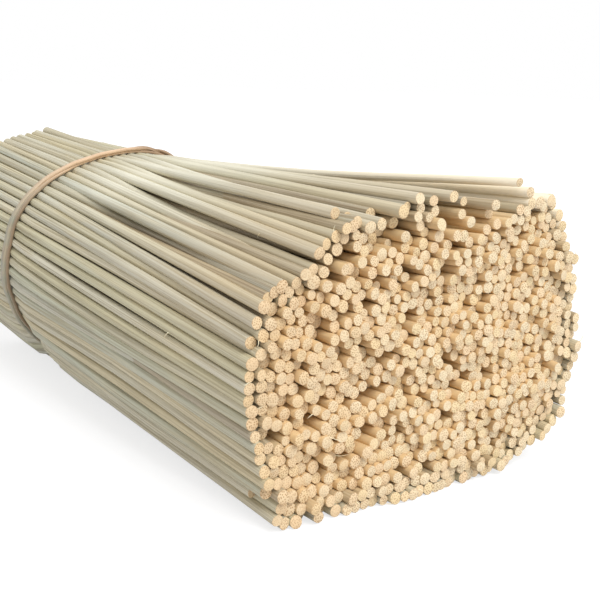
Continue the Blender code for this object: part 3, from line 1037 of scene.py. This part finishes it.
def addBand():
    line = lineRoundReeds()
    samples = len(line)
    around = np.degrees(angleOf(line - bandOutline["middle"])) % 360
    start = nearestTo(around, band["crossing"])
    line = np.roll(line, -start, axis=0)
    around = np.roll(around, -start)
    along = np.roll(line, -1, axis=0) - np.roll(line, 1, axis=0)
    along /= lengthOf(along)[:, None]
    outward = np.stack([along[:, 1], -along[:, 0]], axis=1)
    twistsAt = [nearestTo(around, degrees) for degrees in band["twists"]]

    station = np.arange(2 * samples)
    place = line[station % samples]
    out = outward[station % samples]
    fromCrossing = (station + samples / 2) % samples - samples / 2
    swap = np.sin(np.pi / 2 * np.clip(fromCrossing / band["crossingHalf"], -1, 1))
    firstTurn = (station < samples / 2) | (station >= 1.5 * samples)
    apart = np.interp((around + 90) % 360 - 90, band["roundBundle"], band["apart"]) / 1000
    sideways = apart[station % samples] * np.where(firstTurn, swap, -swap)
    overlapped = np.clip(1 - 2 * apart / band["width"], 0, 1)[station % samples] ** 0.5
    over = np.where(firstTurn, 0, np.maximum(bump(fromCrossing, band["crossingHalf"] * 1.5), overlapped))
    fromTwists = (station[None] - np.array(twistsAt)[:, None]) / band["twistHalf"]
    turn = np.pi * np.sum(0.5 + 0.5 * np.sin(np.pi / 2 * np.clip(fromTwists, -1, 1)), axis=0)
    narrower = 1 - (1 - band["twistWidth"]) * np.sum(bump(fromTwists, 1), axis=0)
    rise = np.abs(np.sin(turn)) * narrower * band["width"] / 2 + np.abs(np.cos(turn)) * band["thickness"] / 2
    rise = rise + over * band["thickness"]

    edge = band["edge"] * band["thickness"]
    halfWide, halfThick = band["width"] / 2, band["thickness"] / 2
    corner = np.array([(halfWide, halfThick - edge), (halfWide - edge, halfThick)])
    profile = np.concatenate([corner, corner[::-1] * (-1, 1), -corner, corner[::-1] * (1, -1)])
    wide = profile[None, :, 0] * narrower[:, None]
    flat = wide * np.cos(turn)[:, None] - profile[None, :, 1] * np.sin(turn)[:, None]
    high = wide * np.sin(turn)[:, None] + profile[None, :, 1] * np.cos(turn)[:, None]
    points = np.zeros((2 * samples, len(profile), 3))
    points[..., 0] = bundle["bandX"] + sideways[:, None] + flat
    points[..., 1:] = place[:, None] + out[:, None] * (rise[:, None] + high)[..., None]

    strap = bmesh.new()
    rings = [[strap.verts.new(point) for point in ring] for ring in points]
    layer = strap.loops.layers.uv.new("millimetres")
    for row, ring in enumerate(rings):
        following = rings[(row + 1) % len(rings)]
        for column in range(len(ring)):
            beside = (column + 1) % len(ring)
            face = strap.faces.new((ring[column], ring[beside], following[beside], following[column]))
            for loop, (across, forward) in zip(face.loops, ((0, 0), (1, 0), (1, 1), (0, 1))):
                loop[layer].uv = ((column + across) * band["uvStep"][0], (row + forward) * band["uvStep"][1])
    strip = addForm("rubberBand", strap)
    strip.data.set_sharp_from_angle(angle=math.radians(band["sharpAngle"]))
    return strip


def makeRubber():
    material, tree, shader = newMaterial("tanRubber", band["roughness"])
    stretch = noiseOf(tree, stretched(tree, millimetres(tree), band["stretch"]), *band["stretchNoise"])
    where, alongX, alongY, alongZ = onPiece(tree)
    dust = noiseOf(tree, where, *band["dustNoise"])
    # painted light and shade: peach where the top is lit, olive below; a brown edge towards the fanned end,
    # partly the rubber's own colour and partly painted shade below the lit top; browner beyond the middle
    spans = band["spans"]
    bandLitTop = rangeOf(tree, alongZ, *band["bandLitTopUp"])
    body = colourMix(tree, bandLitTop, band["olive"], band["peach"])
    body = tinted(tree, body, dust, spans["tan"], band["tan"])
    nearEdge = rangeOf(tree, alongX, *band["lowEdge"])
    lowEdge = mathOf(tree, "MULTIPLY", nearEdge, rangeOf(tree, bandLitTop, *band["edgeBelowLitTop"]))
    body = colourMix(tree, lowEdge, body, band["brown"])
    body = tinted(tree, body, stretch, spans["dark"], band["dark"])
    body = tinted(tree, body, alongY, spans["right"], band["brown"])
    feed(tree, shader, {"Base Color": body})
    addRelief(tree, shader, stretch, strength=0.4, distance=0.00015)
    return material


rubberBand = addBand()
rubberBand.data.materials.append(makeRubber())
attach(rubberBand, "root")
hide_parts("rubber_band")
print("rubber band stretched")


# white surroundings, with the shadow kept on the floor
studio = {
    "floorSize": 12.0,
    "floorColour": (0.80, 0.80, 0.83, 1),
    "seenColour": (0.36, 0.36, 0.37, 1),
    "lift": 0.74,  # only the camera sees it
    "fill": 0.69,
    "keyStrength": 2.3,
    "keySoftness": 40,  # degrees
    "keyDirection": (-0.62, 0.02, -0.785),
}
# three-quarter view of the cut end, almost level; angles in degrees, lens in millimetres
view = {"place": (0.2946, -0.1859, 0.1037), "azimuth": 53.242, "pitch": 11.519, "roll": 2.113,
        "lens": 66.09, "sensor": 36, "nearest": 0.01}


def addFloor():
    deselectAll()
    bpy.ops.mesh.primitive_plane_add(size=studio["floorSize"], location=(0, 0, startLow.z - 0.0001))
    floor = bpy.context.object
    floor.name = "floor"
    material, tree, shader = newMaterial("floorWhite", 0.9)
    onlySeen = addNode(tree, "LightPath")["Is Camera Ray"]
    colour = colourMix(tree, onlySeen, studio["floorColour"], studio["seenColour"])
    feed(tree, shader, {"Base Color": colour, "Specular IOR Level": 0.0})
    glow = addNode(tree, "Emission", {"Strength": mathOf(tree, "MULTIPLY", onlySeen, studio["lift"])})
    both = addNode(tree, "AddShader", {0: shader.outputs[0], 1: glow[0]})
    feed(tree, tree.nodes["Material Output"], {"Surface": both[0]})
    floor.data.materials.append(material)


def addWorld():
    world = bpy.data.worlds.new("studioWorld")
    bpy.context.scene.world = world
    world.use_nodes = True
    tree = world.node_tree
    path = addNode(tree, "LightPath")
    seen = mathOf(tree, "MAXIMUM", path["Is Camera Ray"], path["Is Glossy Ray"])
    either = mathOf(tree, "MAXIMUM", seen, path["Is Transmission Ray"])
    strength = rangeOf(tree, either, 0, 1, studio["fill"], 1.0)
    feed(tree, tree.nodes["Background"], {"Strength": strength, "Color": (1, 1, 1, 1)})


def addKeyLamp():
    deselectAll()
    bpy.ops.object.light_add(type="SUN", location=(0.4, -0.3, 0.7))
    lamp = bpy.context.object
    lamp.name = "keyLamp"
    lamp.data.energy = studio["keyStrength"]
    lamp.data.angle = math.radians(studio["keySoftness"])
    lamp.rotation_euler = Vector(studio["keyDirection"]).to_track_quat("-Z", "Y").to_euler()


def addCamera():
    azimuth, pitch, roll = (math.radians(view[key]) for key in ("azimuth", "pitch", "roll"))
    forward = Vector((-math.sin(azimuth) * math.cos(pitch), math.cos(azimuth) * math.cos(pitch),
                      -math.sin(pitch)))
    level = forward.cross(Vector((0, 0, 1))).normalized()
    upward = level.cross(forward)
    right = level * math.cos(roll) + upward * math.sin(roll)
    top = upward * math.cos(roll) - level * math.sin(roll)
    deselectAll()
    bpy.ops.object.camera_add(location=view["place"])
    camera = bpy.context.object
    camera.rotation_euler = Matrix((right, top, -forward)).transposed().to_euler()
    camera.data.lens = view["lens"]
    camera.data.sensor_width = view["sensor"]
    camera.data.clip_start = view["nearest"]
    bpy.context.scene.camera = camera


addFloor()
addWorld()
addKeyLamp()
addCamera()
bpy.context.scene.view_settings.view_transform = "Standard"
print("studio ready")
